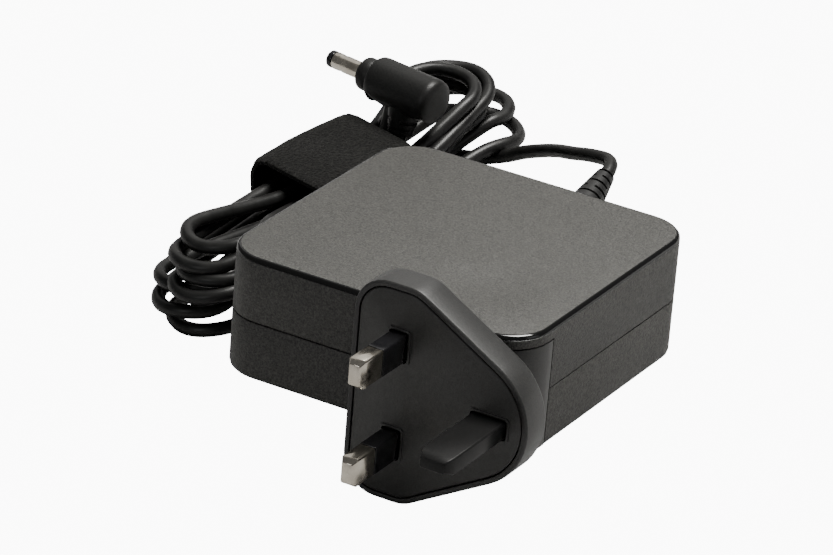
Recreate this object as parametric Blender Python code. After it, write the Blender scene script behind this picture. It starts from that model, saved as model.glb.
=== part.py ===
"""Laptop power adapter with a three-pin wall plug, a hanked output lead and a right-angle barrel plug.

Three frames are used, all in metres.
  case frame   X to the right along the plug side, Y from the plug side to the cable side, Z up from the
               underside.  The whole case hangs from the empty "case", which carries this frame.
  plug frame   origin midway between the live and neutral pins on the front of the plug, X towards the
               earth pin, Y out of the back of the plug, Z along the line of the two pins.
  world        +Z up, floor at z = 0.  The case leans: it rests on the rounded bottom edge of its cable
               side and on the lowest stretch of the plug, which hangs below the underside.
"""

import math

import bmesh
import bpy
from mathutils import Matrix, Vector

# ---------------------------------------------------------------- driving dimensions
GAP = 0.0003                 # clearance between pieces that touch

# Case
CASE_X = 0.0740
CASE_Y = 0.0750
CASE_Z = 0.0280
CASE_CORNER = 0.0100         # radius of the four upright corners
TOP_BEVEL = 0.0010           # glossy band round the lid
FOOT_ROUND = 0.0012          # rounding of the bottom edge
SEAM_Z = 0.0134
WALL = 0.0022
LIP_THICK = 0.0009
LIP_TALL = 0.0015
LEDGE_WIDE = 0.0018          # shelf inside the lower shell that carries the board
LEDGE_Z = 0.0037
DISH_WIDE = 0.0250           # shallow thumb dish in the lid, with a soft rim
DISH_DEEP = 0.0006
DISH_SOFT = 0.85             # nearer 1 is softer at the rim
DISH_X, DISH_Y = 0.0540, 0.0205
LABEL_X, LABEL_Y = 0.0360, 0.0280
LABEL_THICK = 0.0003

# Bay in the near corner that takes the back of the plug
BAY_X = 0.0400               # bay runs from here to the +X side
BAY_Y = 0.0125
BAY_Z = 0.0250
BAY_WALL = 0.0018

# Three-pin plug, sizes of the British standard
PIN_PITCH = 0.02223          # live to neutral, and earth to their line
PIN_WIDE, PIN_THICK, PIN_LONG = 0.00635, 0.003975, 0.0177
EARTH_WIDE, EARTH_THICK, EARTH_LONG = 0.00795, 0.003975, 0.02273
SLEEVE_LONG = 0.0095
SLEEVE_WALL = 0.0005
PIN_ROOT = 0.0047            # how far pins reach behind the front of the plug
PLUG_X = 0.0493              # live and neutral pins, case frame
PLUG_Z = 0.0124              # earth pin height, case frame
PLUG_DEEP = 0.0080           # thickness of the rim
PLUG_LEFT = 0.0111           # edge to the line of the live and neutral pins
PLUG_HALF_TALL = 0.0246
PLUG_CORNER = 0.0080
PLUG_FLAT = 0.00475          # straight run along the top between the corner and the slope
NOSE_X = 0.0160
NOSE_RADIUS = 0.0152
RIM_WALL = 0.0012
RIM_EDGE = 0.0006
FACE_THICK = 0.0025
SHELF_WALL = 0.0024          # wall behind the face plate
FLOOR_THICK = 0.0020
COLLAR_WALL = 0.0005
COLLAR_TALL = 0.0004
BLADE_THICK = 0.0008
BLADE_LONG = 0.0060          # reach of the blades past the wall of the bay

# Board
BOARD_THICK = 0.0016
BOARD_MARGIN = 0.0010
BULK_Y, BULK_RADIUS, BULK_LONG = 0.0218, 0.0080, 0.0260

# Output lead
CORD_DIA = 0.0032
RELIEF_X, RELIEF_Z = 0.0442, 0.0203
RELIEF_LONG = 0.0176
RELIEF_ROOT_DIA, RELIEF_TIP_DIA = 0.0092, 0.0043
RELIEF_NECK_DIA = 0.0066
RELIEF_FLANGE_DIA = 0.0096
RELIEF_RISE = math.radians(15.6)   # leans up from the square of the back wall
RELIEF_YAW = math.radians(5.7)     # and towards -X
RELIEF_RIBS = 6

# Route of the lead from the strain relief to the hank, world frame
LEAD_STRAIGHT = 0.0018              # straight out of the strain relief
LEAD_ROUTE = [
    (0.0013, 0.0743, 0.0220), (-0.0002, 0.0764, 0.0215), (-0.0023, 0.0779, 0.0208),
    (-0.0074, 0.0797, 0.0192), (-0.0125, 0.0819, 0.0169), (-0.0175, 0.0848, 0.0144),
    (-0.0230, 0.0878, 0.0112), (-0.0294, 0.0901, 0.0076),
]

# Hank: centre, half width, lowest and highest point of its section at each station, world frame
HANK_STATIONS = [
    (-0.0565, -0.0082, 0.0070, 0.0030, 0.0230), (-0.0562, -0.0062, 0.0100, 0.0006, 0.0262),
    (-0.0560, -0.0020, 0.0122, 0.0001, 0.0275), (-0.0562, 0.0060, 0.0126, 0.0001, 0.0275),
    (-0.0570, 0.0160, 0.0124, 0.0001, 0.0250), (-0.0588, 0.0290, 0.0118, 0.0001, 0.0200),
    (-0.0606, 0.0385, 0.0112, 0.0020, 0.0160), (-0.0611, 0.0411, 0.0112, 0.0022, 0.0158),
    (-0.0577, 0.0547, 0.0112, 0.0022, 0.0158), (-0.0543, 0.0683, 0.0112, 0.0022, 0.0150),
    (-0.0536, 0.0715, 0.0118, 0.0010, 0.0138), (-0.0526, 0.0770, 0.0135, 0.0001, 0.0145),
    (-0.0514, 0.0850, 0.0158, 0.0001, 0.0165), (-0.0506, 0.0940, 0.0166, 0.0001, 0.0182),
    (-0.0508, 0.1010, 0.0152, 0.0001, 0.0184), (-0.0512, 0.1070, 0.0118, 0.0001, 0.0180),
    (-0.0515, 0.1105, 0.0080, 0.0010, 0.0160), (-0.0517, 0.1120, 0.0050, 0.0030, 0.0130),
]

# Hook-and-loop wrap round the hank
STRAP_START, STRAP_END = (-0.0611, 0.0411), (-0.0543, 0.0683)
STRAP_WIDE, STRAP_TALL = 0.0280, 0.0184
STRAP_THICK = 0.0014
STRAP_CORNER = 0.0060

# Right-angle barrel plug on the end of the lead, world frame
DC_BACK = (-0.0416, 0.0738, 0.0246)
DC_TIP = (-0.0743, 0.0794, 0.0246)
DC_BARREL_LONG = 0.0104
DC_BARREL_DIA = 0.0040
DC_BARREL_BORE = 0.0033
DC_BODY_DIA = 0.0106
DC_COLLAR_DIA = 0.0078             # neck between the body and the barrel
DC_COLLAR_LONG = 0.0036
DC_STEM_LONG = 0.0098
DC_STEM_FALL = math.radians(71.0)  # the stem points forwards and this far below level
DC_STEM_ROOT, DC_STEM_TIP = 0.0092, 0.0060
DC_STEM_AT = 0.0097                # from the back of the body to the middle of the stem

# ---------------------------------------------------------------- values that follow from these
INNER_TOP = CASE_Z - WALL
BOARD_Z = LEDGE_Z + GAP
BOARD_TOP = BOARD_Z + BOARD_THICK
PART_Z = BOARD_TOP + GAP                      # parts stand here on the board
FACE_Y = -(PLUG_DEEP + 0.0004)                # front of the plug, case frame
RIM_BACK_Y = FACE_Y + PLUG_DEEP
BLOCK_Y = BAY_Y - GAP
BLOCK_Z = BAY_Z - GAP
BLADE_END_Y = BAY_Y + BAY_WALL + BLADE_LONG
NEUTRAL_BLADE = (0.0530, PART_Z + 0.0006)    # x and lower z, case frame: one each side of the seam
LIVE_BLADE = (0.0455, SEAM_Z + 0.0006)
BLADE_TALL = SEAM_Z - 0.0019 - NEUTRAL_BLADE[1]
OUTPUT_ROW_Y = CASE_Y - WALL - BOARD_MARGIN - 0.0063
NOSE_REACH = NOSE_X + NOSE_RADIUS
PLUG_LOW_Z = PLUG_Z - PLUG_HALF_TALL


def lean_angle():
    """Angle of the floor under the case: the common tangent of the two edges it rests on."""
    back = Vector((CASE_Y - FOOT_ROUND, FOOT_ROUND))
    front = Vector((RIM_BACK_Y - RIM_EDGE, PLUG_LOW_Z + RIM_EDGE))
    span = back - front
    return math.atan2(span.y, span.x) - math.asin((FOOT_ROUND - RIM_EDGE) / span.length)


LEAN = lean_angle()
LIFT = FOOT_ROUND + math.sin(LEAN) * (CASE_Y - FOOT_ROUND) - math.cos(LEAN) * FOOT_ROUND
MID_X = (PLUG_X + NOSE_REACH) / 2
FRONT_REACH = math.cos(LEAN) * (FACE_Y - EARTH_LONG) + math.sin(LEAN) * (PLUG_Z - EARTH_THICK / 2)
BACK_REACH = math.cos(LEAN) * CASE_Y + math.sin(LEAN) * (CASE_Z - TOP_BEVEL)
MID_Y = (FRONT_REACH + BACK_REACH) / 2
CASE_MATRIX = Matrix.Translation((-MID_X, -MID_Y, LIFT)) @ Matrix.Rotation(-LEAN, 4, "X")

ARC_STEPS = 8


# ---------------------------------------------------------------- helpers
def material(name, colour, roughness, metallic=0.0):
    mat = bpy.data.materials.new(name)
    mat.use_nodes = True
    shader = mat.node_tree.nodes["Principled BSDF"]
    shader.inputs["Base Color"].default_value = (*colour, 1.0)
    shader.inputs["Roughness"].default_value = roughness
    shader.inputs["Metallic"].default_value = metallic
    return mat


def add_object(name, bm, mat, parent=None, smooth=True):
    """Turn a bmesh into an object, with its faces pointing out."""
    bmesh.ops.recalc_face_normals(bm, faces=bm.faces)
    mesh = bpy.data.meshes.new(name)
    bm.to_mesh(mesh)
    bm.free()
    if mat:
        mesh.materials.append(mat)
    if smooth:
        mesh.shade_smooth()
        mesh.set_sharp_from_angle(angle=math.radians(32))
    obj = bpy.data.objects.new(name, mesh)
    bpy.context.scene.collection.objects.link(obj)
    obj.parent = parent
    return obj


def cutter(name, bm, parent=None):
    obj = add_object(name, bm, None, parent, smooth=False)
    obj.hide_render = True
    obj.display_type = "WIRE"
    return obj


def boolean(obj, other, operation="DIFFERENCE"):
    mod = obj.modifiers.new(operation.lower(), "BOOLEAN")
    mod.operation = operation
    mod.solver = "EXACT"
    mod.object = other


def arc(cx, cy, radius, start, end, steps=ARC_STEPS):
    """Points on an arc, both ends included, angles in degrees."""
    return [(cx + radius * math.cos(math.radians(start + (end - start) * i / steps)),
             cy + radius * math.sin(math.radians(start + (end - start) * i / steps)))
            for i in range(steps + 1)]


def rounded_rect(x0, y0, x1, y1, radius, inset=0.0, steps=ARC_STEPS):
    """Counter-clockwise rounded rectangle, shrunk by inset."""
    turn = max(radius - inset, 0.0004)
    x0, y0, x1, y1 = x0 + inset, y0 + inset, x1 - inset, y1 - inset
    return (arc(x1 - turn, y0 + turn, turn, -90, 0, steps) + arc(x1 - turn, y1 - turn, turn, 0, 90, steps)
            + arc(x0 + turn, y1 - turn, turn, 90, 180, steps)
            + arc(x0 + turn, y0 + turn, turn, 180, 270, steps))


def case_outline(inset):
    return rounded_rect(0, 0, CASE_X, CASE_Y, CASE_CORNER, inset)


def plug_outline(inset):
    """Flat left side by the two pins, sloping sides, round nose at the earth pin; plug frame, X and Z."""
    corner_x = PLUG_CORNER - PLUG_LEFT
    slope_x = corner_x + PLUG_FLAT
    corner_z = PLUG_HALF_TALL - PLUG_CORNER
    away = Vector((slope_x - NOSE_X, corner_z))
    slope = math.degrees(math.atan2(away.y, away.x)
                         - math.acos((NOSE_RADIUS - PLUG_CORNER) / away.length))
    small, large = PLUG_CORNER - inset, NOSE_RADIUS - inset
    upper = (arc(NOSE_X, 0, large, 0, slope) + arc(slope_x, corner_z, small, slope, 90, 4)
             + arc(corner_x, corner_z, small, 90, 180))
    return upper + [(x, -z) for x, z in reversed(upper)][:-1]


def loft(rings, closed=False):
    """Skin rings that have equal counts of points; ends are capped unless the loft closes on itself."""
    bm = bmesh.new()
    loops = [[bm.verts.new(point) for point in ring] for ring in rings]
    pairs = list(zip(loops, loops[1:]))
    if closed:
        pairs.append((loops[-1], loops[0]))
    for near, far in pairs:
        count = len(near)
        for i in range(count):
            j = (i + 1) % count
            bm.faces.new((near[i], near[j], far[j], far[i]))
    if not closed:
        bm.faces.new(loops[0])
        bm.faces.new(loops[-1])
    return bm


def stack(outline, steps, closed=False):
    """Loft an outline up Z: steps are (inset, z)."""
    return loft([[(x, y, z) for x, y in outline(inset)] for inset, z in steps], closed)


def plug_stack(outline, steps, closed=False):
    """Loft an outline of the plug frame along Y, in the case frame: steps are (inset, y)."""
    return loft([[(PLUG_X + x, y, PLUG_Z + z) for x, z in outline(inset)] for inset, y in steps], closed)


def prism(points, z0, z1):
    return loft([[(x, y, z0) for x, y in points], [(x, y, z1) for x, y in points]])


def box(x0, y0, z0, x1, y1, z1):
    return prism([(x0, y0), (x1, y0), (x1, y1), (x0, y1)], z0, z1)


def bevelled_box(x0, y0, z0, x1, y1, z1, edge):
    """Box with chamfered upright corners and a chamfered top edge."""
    def outline(inset):
        return rounded_rect(x0, y0, x1, y1, edge, inset, 1)
    return stack(outline, [(0, z0), (0, z1 - edge), (edge * 0.9, z1)])


def circle(radius, steps):
    return [(radius * math.cos(2 * math.pi * i / steps), radius * math.sin(2 * math.pi * i / steps))
            for i in range(steps)]


def turned(profile, frame, steps=20, closed=False):
    """Solid of revolution about the frame's Z: profile is (radius, height), closed makes it a tube."""
    rings = [[frame @ Vector((x, y, height)) for x, y in circle(radius, steps)]
             for radius, height in profile]
    return loft(rings, closed)


def aim(origin, direction, up=(0, 0, 1)):
    """Matrix whose Z axis points along direction and whose Y axis leans towards up."""
    z_axis = Vector(direction).normalized()
    x_axis = Vector(up).cross(z_axis).normalized()
    y_axis = z_axis.cross(x_axis)
    turn = Matrix((x_axis, y_axis, z_axis)).transposed().to_4x4()
    return Matrix.Translation(origin) @ turn


def bar_section(half_x, half_z, corner, y, x_mid, z_mid):
    """Rectangle with cut corners, square to Y."""
    return [(x_mid + sx * x, y, z_mid + sz * z)
            for sx, sz, x, z in ((1, 1, half_x, half_z - corner), (1, 1, half_x - corner, half_z),
                                 (-1, 1, half_x - corner, half_z), (-1, 1, half_x, half_z - corner),
                                 (-1, -1, half_x, half_z - corner), (-1, -1, half_x - corner, half_z),
                                 (1, -1, half_x - corner, half_z), (1, -1, half_x, half_z - corner))]


# ---------------------------------------------------------------- case
def bay_cut(name, grow, z_low, parent):
    """Block that clears the bay, open to the plug side, the +X side and the floor."""
    over = 0.010
    return cutter(name, box(BAY_X - grow, -over, z_low, CASE_X + over, BAY_Y + grow, BAY_Z + grow), parent)


def bay_lining(name, z0, z1, parent):
    """Corner of the case, kept solid behind the bay's walls."""
    lining = cutter(name, stack(case_outline, [(WALL / 2, z0), (WALL / 2, z1)]), parent)
    keep = box(BAY_X - BAY_WALL, -0.010, z0 - 0.010, CASE_X + 0.010, BAY_Y + BAY_WALL, z1 + 0.010)
    boolean(lining, cutter(name + "_keep", keep, parent), "INTERSECT")
    return lining


def blade_slot(name, blade, parent):
    """Slot in the back wall of the bay for one blade of the plug."""
    x, z = blade
    half = BLADE_THICK / 2 + 2 * GAP
    return cutter(name, box(x - half, BAY_Y - 0.003, z - 2 * GAP, x + half, BAY_Y + BAY_WALL + 0.003,
                            z + BLADE_TALL + 2 * GAP), parent)


def relief_frame(depth=0.0):
    """Axis of the strain relief where it leaves the back wall, case frame."""
    direction = Vector((-math.sin(RELIEF_YAW), math.cos(RELIEF_YAW), math.tan(RELIEF_RISE)))
    return aim((RELIEF_X, CASE_Y + depth, RELIEF_Z), direction)


def cable_hole(parent):
    """Square-on hole through the back wall for the neck of the strain relief."""
    frame = aim((RELIEF_X, CASE_Y, RELIEF_Z), (0, 1, 0))
    radius = RELIEF_NECK_DIA / 2 + GAP
    return cutter("cable_hole", turned([(radius, -WALL * 2), (radius, WALL)], frame, 24), parent)


def dish_cutter(parent):
    """Thumb dish: a cosine bowl that meets the lid at a very low slope."""
    turn_at_rim = math.acos(-DISH_SOFT)
    bowl = []
    for k in range(1, 10):
        share = k / 8
        sink = DISH_DEEP * (math.cos(share * turn_at_rim) + DISH_SOFT) / (1 + DISH_SOFT)
        bowl.append((DISH_WIDE / 2 * share, -sink))
    top = (bowl[-1][0], 0.0020)
    centre = Matrix.Translation((DISH_X, DISH_Y, CASE_Z))
    return cutter("thumb_dish", turned(bowl + [top], centre, 40), parent)


def upper_shell(parent, mat):
    """Lid: glossy bevel round the top, rebate over the lip of the lower shell."""
    rebate = WALL - LIP_THICK - GAP
    mouth = SEAM_Z + GAP / 2
    steps = [(WALL, INNER_TOP), (WALL, mouth + LIP_TALL + GAP), (rebate, mouth + LIP_TALL + GAP),
             (rebate, mouth), (0, mouth), (0, CASE_Z - TOP_BEVEL),
             (TOP_BEVEL * 0.12, CASE_Z - TOP_BEVEL * 0.5), (TOP_BEVEL * 0.5, CASE_Z - TOP_BEVEL * 0.12),
             (TOP_BEVEL, CASE_Z)]
    shell = add_object("upper_shell", stack(case_outline, steps), mat, parent)
    boolean(shell, bay_lining("upper_lining", mouth, BAY_Z + BAY_WALL, parent), "UNION")
    boolean(shell, bay_cut("upper_bay", 0, -0.010, parent))
    boolean(shell, blade_slot("live_slot", LIVE_BLADE, parent))
    boolean(shell, cable_hole(parent))
    boolean(shell, dish_cutter(parent))


def lower_shell(parent, mat):
    """Tray: rounded foot edge, ledge for the board, lip that enters the lid, recess for the label."""
    lip_out = WALL - LIP_THICK
    rim = SEAM_Z - GAP / 2
    foot = [(FOOT_ROUND * (1 - math.sin(math.radians(a))), FOOT_ROUND * (1 - math.cos(math.radians(a))))
            for a in (90, 60, 30, 0)]
    steps = [(WALL + LEDGE_WIDE, WALL), (WALL + LEDGE_WIDE, LEDGE_Z), (WALL, LEDGE_Z),
             (WALL, rim + LIP_TALL), (lip_out, rim + LIP_TALL), (lip_out, rim), (0, rim)] + foot
    shell = add_object("lower_shell", stack(case_outline, steps), mat, parent)
    boolean(shell, bay_lining("lower_lining", FOOT_ROUND, rim, parent), "UNION")
    boolean(shell, bay_cut("lower_bay", 0, -0.010, parent))
    boolean(shell, bay_cut("lip_relief", BAY_WALL + GAP, rim, parent))
    boolean(shell, blade_slot("neutral_slot", NEUTRAL_BLADE, parent))
    x0, y0 = (CASE_X - LABEL_X) / 2 - 0.010, (CASE_Y - LABEL_Y) / 2 + 0.006
    recess = rounded_rect(x0, y0, x0 + LABEL_X, y0 + LABEL_Y, 0.002, -GAP, 4)
    boolean(shell, cutter("label_recess", prism(recess, -0.001, LABEL_THICK + GAP), parent))
    label = prism(rounded_rect(x0, y0, x0 + LABEL_X, y0 + LABEL_Y, 0.002, 0, 4), 0, LABEL_THICK)
    add_object("rating_label", label, material("label_grey", (0.34, 0.34, 0.33), 0.5), parent)


def corner_sheet(inset):
    """Plan of a sheet that fills the case but for the bay, kept clear of the walls by inset."""
    step = BAY_WALL + inset - WALL
    turn = CASE_CORNER - inset
    far_x, far_y = CASE_X - CASE_CORNER, CASE_Y - CASE_CORNER
    return (arc(CASE_CORNER, CASE_CORNER, turn, 180, 270, 4)
            + [(BAY_X - step, inset), (BAY_X - step, BAY_Y + step), (CASE_X - inset, BAY_Y + step)]
            + arc(far_x, far_y, turn, 0, 90, 4) + arc(CASE_CORNER, far_y, turn, 90, 180, 4))


def sheets(parent):
    """Circuit board on its ledge, and the insulating sheet under it."""
    board = prism(corner_sheet(WALL + BOARD_MARGIN), BOARD_Z, BOARD_TOP)
    green = material("board_green", (0.02, 0.12, 0.05), 0.45)
    add_object("main_board", board, green, parent, smooth=False)
    sheet = prism(corner_sheet(WALL + LEDGE_WIDE + 2 * GAP), WALL + GAP, WALL + 2 * GAP + 0.0003)
    amber = material("sheet_amber", (0.55, 0.36, 0.08), 0.4)
    add_object("insulation_sheet", sheet, amber, parent, smooth=False)


# ---------------------------------------------------------------- parts on the board
def transformer(parent):
    """Ferrite core with two windows, and the winding round its middle leg."""
    half_x, leg, outer_leg = 0.0120, 0.0072, 0.0040
    z0, z1, yoke = PART_Z, PART_Z + 0.0172, 0.0034
    window = half_x - leg / 2 - outer_leg
    front, back = BULK_Y + BULK_RADIUS + 0.0021, OUTPUT_ROW_Y - 0.0054
    cx, cy = 0.0222, (front + back) / 2
    half_y = (back - front) / 2 - window + GAP
    ferrite = material("ferrite", (0.05, 0.05, 0.055), 0.55)
    core = add_object("transformer_core", bevelled_box(cx - half_x, cy - half_y, z0, cx + half_x, cy + half_y,
                                                       z1, 0.0008), ferrite, parent, smooth=False)
    for side in (-1, 1):
        x = cx + side * (leg / 2 + window / 2)
        hole = box(x - window / 2, cy - half_y - 0.002, z0 + yoke,
                   x + window / 2, cy + half_y + 0.002, z1 - yoke)
        boolean(core, cutter("core_window_%d" % (side + 2), hole, parent))
    reach_x, reach_y = leg / 2 + window - GAP, half_y + window - GAP
    inner_x, inner_y = leg / 2 + GAP, half_y + GAP
    rings = [(reach_x, reach_y, 0), (reach_x, reach_y, 1), (inner_x, inner_y, 1), (inner_x, inner_y, 0)]
    levels = (z0 + yoke + GAP, z1 - yoke - GAP)
    copper = material("winding_tape", (0.62, 0.45, 0.08), 0.45)
    coil = loft([[(x, y, levels[top])
                  for x, y in rounded_rect(cx - hx, cy - hy, cx + hx, cy + hy, 0.001, 0, 2)]
                 for hx, hy, top in rings], closed=True)
    add_object("transformer_coil", coil, copper, parent)


def can(name, x, y, radius, tall, mat, parent, frame=None):
    """Electrolytic can with the rolled groove near its base."""
    groove = [(radius, 0.0014), (radius * 0.93, 0.0020), (radius, 0.0026)]
    profile = [(radius * 0.94, 0), (radius, 0.0005)] + groove
    profile += [(radius, tall - 0.0005), (radius * 0.94, tall)]
    frame = frame or Matrix.Translation((x, y, PART_Z))
    add_object(name, turned(profile, frame, 20), mat, parent)


def toroid(name, x, y, ring_radius, wire_radius, mat, parent):
    """Flat ring choke."""
    section = circle(wire_radius, 10)
    profile = [(ring_radius + a, wire_radius + b) for a, b in section]
    add_object(name, turned(profile, Matrix.Translation((x, y, PART_Z)), 24, closed=True), mat, parent)


def board_parts(parent):
    sleeve_blue = material("can_sleeve", (0.05, 0.07, 0.16), 0.35)
    black = material("moulded_black", (0.02, 0.02, 0.02), 0.5)
    bare = material("sink_aluminium", (0.72, 0.73, 0.74), 0.4, 1.0)
    film = material("film_yellow", (0.65, 0.45, 0.05), 0.45)
    disc = material("disc_blue", (0.04, 0.14, 0.40), 0.5)
    wire = material("choke_wire", (0.50, 0.20, 0.06), 0.35, 0.6)
    lying = aim((0.0050, BULK_Y, PART_Z + BULK_RADIUS), (1, 0, 0))
    can("bulk_capacitor", 0, 0, BULK_RADIUS, BULK_LONG, sleeve_blue, parent, lying)
    can("output_capacitor_1", 0.0092, OUTPUT_ROW_Y, 0.0050, 0.0180, sleeve_blue, parent)
    can("output_capacitor_2", 0.0204, OUTPUT_ROW_Y, 0.0050, 0.0180, sleeve_blue, parent)
    can("fuse", 0.0092, 0.0092, 0.0042, 0.0080, material("fuse_brown", (0.16, 0.08, 0.04), 0.5), parent)
    toroid("input_choke", 0.0475, BLADE_END_Y + 0.0112, 0.0063, 0.0032, wire, parent)
    toroid("output_choke", 0.0312, OUTPUT_ROW_Y, 0.0034, 0.0017, wire, parent)
    small_y, diode_y, diode_deep = OUTPUT_ROW_Y - 0.0112, OUTPUT_ROW_Y - 0.0070, 0.0044
    blocks = [("x_capacitor", 0.0150, 0.0055, 0.0140, 0.0070, 0.0120, film, 0.0006),
              ("y_capacitor", 0.0312, 0.0060, 0.0034, 0.0080, 0.0085, disc, 0.0014),
              ("bridge_rectifier", 0.0322, 0.0160, 0.0034, 0.0145, 0.0110, black, 0.0006),
              ("optocoupler", 0.0400, small_y, 0.0046, 0.0066, 0.0034, black, 0.0003),
              ("controller_chip", 0.0480, small_y, 0.0040, 0.0050, 0.0015, black, 0.0003),
              ("switching_transistor", 0.0575, 0.0340, 0.0044, 0.0100, 0.0150, black, 0.0005),
              ("rectifier_diode", 0.0540, diode_y, 0.0100, diode_deep, 0.0150, black, 0.0005)]
    for name, x, y, wide, deep, tall, mat, edge in blocks:
        solid = bevelled_box(x, y, PART_Z, x + wide, y + deep, PART_Z + tall, edge)
        add_object(name, solid, mat, parent, smooth=False)
    sink_thick, sink_foot, sink_tall = 0.0018, 0.0060, 0.0172
    x0, y0, y1 = 0.0575 + 0.0044 + GAP, 0.0260, OUTPUT_ROW_Y - 0.0115
    foot = [(x0, PART_Z), (x0 + sink_foot, PART_Z), (x0 + sink_foot, PART_Z + sink_thick),
            (x0 + sink_thick, PART_Z + sink_thick), (x0 + sink_thick, PART_Z + sink_tall),
            (x0, PART_Z + sink_tall)]
    side_sink = loft([[(x, y, z) for x, z in foot] for y in (y0, y1)])
    add_object("primary_heat_sink", side_sink, bare, parent, smooth=False)
    y_back = diode_y + diode_deep + GAP
    plate = [(y_back, PART_Z), (y_back + sink_foot, PART_Z), (y_back + sink_foot, PART_Z + sink_thick),
             (y_back + sink_thick, PART_Z + sink_thick), (y_back + sink_thick, PART_Z + 0.0130),
             (y_back, PART_Z + 0.0130)]
    back_sink = loft([[(x, y, z) for y, z in plate] for x in (0.0500, 0.0690)])
    add_object("secondary_heat_sink", back_sink, bare, parent, smooth=False)


def wire_between(name, start, bend, end, dia, mat, parent):
    """Short sleeved wire on a smooth bow."""
    steps = 10
    data = bpy.data.curves.new(name, "CURVE")
    data.dimensions = "3D"
    data.bevel_depth = dia / 2
    data.bevel_resolution = 2
    data.use_fill_caps = True
    spline = data.splines.new("POLY")
    spline.points.add(steps)
    for i in range(steps + 1):
        t = i / steps
        point = (1 - t) ** 2 * Vector(start) + 2 * t * (1 - t) * Vector(bend) + t * t * Vector(end)
        spline.points[i].co = (*point, 1)
    data.materials.append(mat)
    obj = bpy.data.objects.new(name, data)
    bpy.context.scene.collection.objects.link(obj)
    obj.parent = parent


def output_wires(parent):
    """Two wires from the inner end of the strain relief to the board."""
    dia, spread = 0.0016, 0.0016
    for name, side, colour in (("output_wire_positive", -1, (0.45, 0.02, 0.02)),
                               ("output_wire_negative", 1, (0.02, 0.02, 0.02))):
        x = RELIEF_X + side * spread
        inside_y = CASE_Y - WALL - 3 * GAP - 0.0012
        start = (x, inside_y, RELIEF_Z)
        bend = (x, inside_y - 0.0065, RELIEF_Z + 0.001)
        end = (x, inside_y - 0.0075, PART_Z + dia / 2)
        wire_between(name, start, bend, end, dia, material(name, colour, 0.5), parent)


def contacts(parent, brass):
    """Spring forks on the board that grip the blades of the plug."""
    leaf, gap = 0.0005, BLADE_THICK / 2 + GAP
    y0, y1 = BAY_Y + BAY_WALL + 2 * GAP, BLADE_END_Y + 2 * GAP
    for name, (x, z) in (("live_contact", LIVE_BLADE), ("neutral_contact", NEUTRAL_BLADE)):
        low = z if z > PART_Z + BLADE_TALL else PART_Z
        plan = [(x - gap - leaf, y0), (x - gap, y0), (x - gap, y1), (x + gap, y1), (x + gap, y0),
                (x + gap + leaf, y0), (x + gap + leaf, y1 + leaf), (x - gap - leaf, y1 + leaf)]
        fork = add_object(name, prism(plan, low, z + BLADE_TALL), brass, parent, smooth=False)
        if low > PART_Z:
            leg = box(x - gap, y1 + leaf * 0.1, PART_Z, x + gap, y1 + leaf * 0.9, low + 0.001)
            boolean(fork, cutter(name + "_leg", leg, parent), "UNION")


# ---------------------------------------------------------------- plug
def plug_housing(parent, mat):
    """Rim and the block behind it, which fills the corner bay of the case; hollow from the front."""
    shelf_y = FACE_Y + FACE_THICK + GAP
    floor_y = RIM_BACK_Y - FLOOR_THICK
    edge = RIM_EDGE
    steps = [(SHELF_WALL, floor_y), (SHELF_WALL, shelf_y), (RIM_WALL, shelf_y), (RIM_WALL, FACE_Y),
             (edge * 0.5, FACE_Y), (0, FACE_Y + edge * 0.5), (0, RIM_BACK_Y - edge),
             (edge * 0.13, RIM_BACK_Y - edge * 0.5), (edge * 0.5, RIM_BACK_Y - edge * 0.13),
             (edge, RIM_BACK_Y)]
    housing = add_object("plug_housing", plug_stack(plug_outline, steps), mat, parent)
    near_x, neck_y = BAY_X + GAP, RIM_BACK_Y - FLOOR_THICK * 0.6
    corner = arc(CASE_X - CASE_CORNER, CASE_CORNER, CASE_CORNER, -90, 0)
    plan = [(near_x, neck_y), (CASE_X - CASE_CORNER, neck_y)] + corner
    plan += [(CASE_X, BLOCK_Y), (near_x, BLOCK_Y)]
    block = cutter("block", prism(plan, FOOT_ROUND * 0.5, BLOCK_Z), parent)
    boolean(housing, block, "UNION")
    wall = BAY_WALL
    hollow = box(near_x + wall, floor_y - 0.001, FOOT_ROUND * 0.5 + wall, CASE_X - CASE_CORNER,
                 BLOCK_Y - wall, BLOCK_Z - wall)
    boolean(housing, cutter("block_hollow", hollow, parent))
    for name, (x, z) in (("live_gate", LIVE_BLADE), ("neutral_gate", NEUTRAL_BLADE)):
        half = BLADE_THICK / 2 + GAP
        gate = box(x - half, BLOCK_Y - wall - 0.001, z - GAP, x + half, BLOCK_Y + 0.001, z + BLADE_TALL + GAP)
        boolean(housing, cutter(name, gate, parent))


def pin_places():
    """Middle of each pin's section in the case frame: x, z, width along X, width along Z."""
    half = PIN_PITCH / 2
    return {"live": (PLUG_X, PLUG_Z + half, PIN_THICK, PIN_WIDE),
            "neutral": (PLUG_X, PLUG_Z - half, PIN_THICK, PIN_WIDE),
            "earth": (PLUG_X + PIN_PITCH, PLUG_Z, EARTH_WIDE, EARTH_THICK)}


def plug_face(parent, mat):
    """Front plate with a raised collar round each pin."""
    inset, back = RIM_WALL + GAP, FACE_Y + FACE_THICK
    face = add_object("plug_face", plug_stack(plug_outline, [(inset, back), (inset, FACE_Y + 0.0002),
                                                             (inset + 0.0002, FACE_Y)]), mat, parent)
    for name, (x, z, wide_x, wide_z) in pin_places().items():
        out = GAP + COLLAR_WALL
        collar = loft([bar_section(wide_x / 2 + out, wide_z / 2 + out, 0.0006, y, x, z)
                       for y in (FACE_Y + 0.0008, FACE_Y - COLLAR_TALL)])
        boolean(face, cutter(name + "_collar", collar, parent), "UNION")
        hole = loft([bar_section(wide_x / 2 + GAP, wide_z / 2 + GAP, 0.0004, y, x, z)
                     for y in (back + 0.002, FACE_Y - 0.003)])
        boolean(face, cutter(name + "_hole", hole, parent))


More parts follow.
